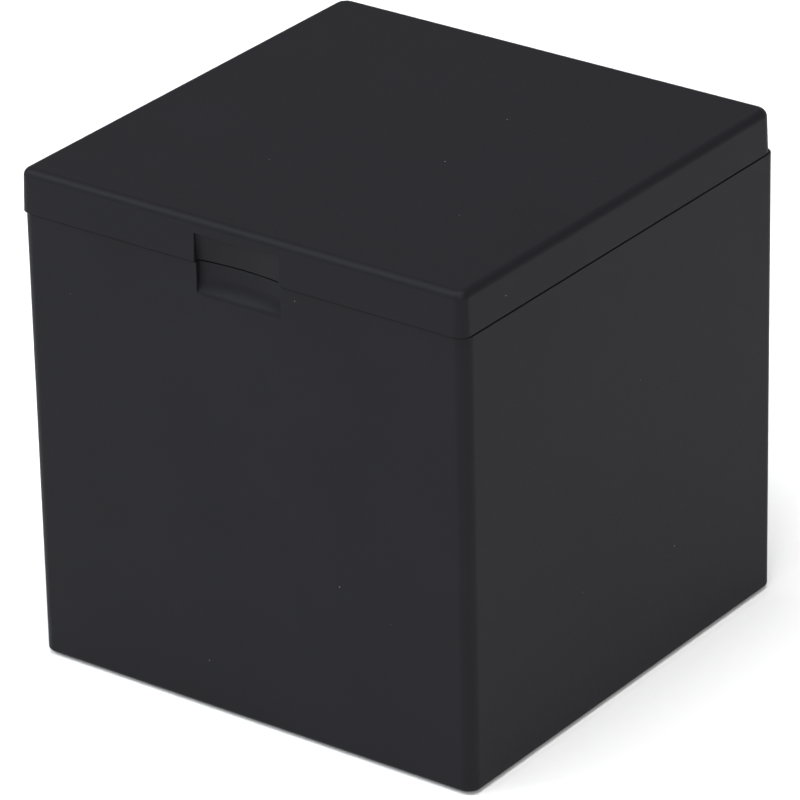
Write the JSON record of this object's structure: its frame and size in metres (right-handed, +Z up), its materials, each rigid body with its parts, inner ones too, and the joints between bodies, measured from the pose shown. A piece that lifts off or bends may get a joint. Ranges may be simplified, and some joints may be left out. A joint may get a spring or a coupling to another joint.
{
  "type": "watch demagnetizer",
  "caption": "Cube-shaped benchtop watch demagnetizer with a hinged lid, a front finger recess and a cushioned round bay inside a coil.",
  "frame": {"origin": "on the floor under the middle of the case", "axes": "+Z up, -Y towards the finger recess at the front, +X to the right seen from the front"},
  "size_m": [0.09, 0.0904, 0.0906],
  "materials": {
    "case_plastic": "fine matte charcoal moulding with a soft-touch coat",
    "inner_plastic": "matte black moulding",
    "base_plastic": "matte charcoal moulding, coarser than the case",
    "foot_rubber": "matte black rubber",
    "cushion_fabric": "dark grey brushed felt",
    "pad_foam": "charcoal closed-cell foam with a short nap",
    "screw_steel": "blackened steel",
    "pin_steel": "ground steel",
    "spring_steel": "bright rolled spring strip",
    "bobbin_nylon": "natural nylon",
    "winding_copper": "enamelled copper wire",
    "retainer_plastic": "glass-filled black nylon",
    "board_laminate": "green solder-masked laminate",
    "capacitor_sleeve": "dark blue shrink sleeve with bare aluminium ends",
    "cell_sleeve": "blue shrink sleeve",
    "holder_plastic": "black polypropylene",
    "sink_aluminium": "anodised aluminium",
    "chip_epoxy": "moulded black epoxy",
    "core_ferrite": "dull sintered ferrite",
    "winding_tape": "yellow polyester tape",
    "connector_nylon": "natural nylon",
    "socket_steel": "tinned steel",
    "button_plastic": "satin charcoal moulding",
    "light_acrylic": "clear frosted acrylic",
    "led_epoxy": "green tinted epoxy",
    "lead_insulation": "red silicone insulation"
  },
  "bodies": {
    "case": {"body_shell": "case_plastic", "base_plate": "base_plastic", "foot_pads": "foot_rubber", "deck_plate": "inner_plastic", "bay_cup": "inner_plastic", "bay_cushion": "cushion_fabric", "coil_bobbin": "bobbin_nylon", "copper_winding": "winding_copper", "coil_retainer": "retainer_plastic", "main_board": "board_laminate", "pulse_capacitors": "capacitor_sleeve", "battery_holder": "holder_plastic", "battery_cell": "cell_sleeve", "heat_sink": "sink_aluminium", "power_transistor": "chip_epoxy", "transformer_core": "core_ferrite", "transformer_winding": "winding_tape", "controller_chips": "chip_epoxy", "lead_connectors": "connector_nylon", "usb_socket": "socket_steel", "button_switch": "chip_epoxy", "light_pipe": "light_acrylic", "status_led": "led_epoxy", "coil_leads": "lead_insulation", "switch_leads": "lead_insulation", "catch_clips": "spring_steel", "lid_switch": "chip_epoxy", "base_screws": "screw_steel", "deck_screws": "screw_steel", "board_screws": "screw_steel", "retainer_screws": "screw_steel"},
    "lid": {"lid_shell": "case_plastic", "lid_liner": "inner_plastic", "lid_pad": "pad_foam", "hinge_pins": "pin_steel", "liner_screws": "screw_steel"},
    "button": {"start_button": "button_plastic", "button_plunger": "button_plastic"},
    "plunger": {"switch_plunger": "connector_nylon"}
  },
  "joints": [
    {"name": "lid_hinge", "type": "hinge", "parent": "case", "child": "lid", "pos_m": [0, 0.04265, 0.0849], "axis": [-1, 0, 0], "range_deg": [0, 95]},
    {"name": "button_press", "type": "slide", "parent": "case", "child": "button", "axis": [0, -1, 0], "range_m": [0, 0.0006], "stiffness_N_per_m": 2500, "springref_m": -0.0002},
    {"name": "plunger_rise", "type": "slide", "parent": "case", "child": "plunger", "axis": [0, 0, 1], "range_m": [0, 0.001]}
  ],
  "couplings": [
    {"joint": "plunger_rise", "follows": "lid_hinge", "m_per_rad": 0.0006025}
  ]
}
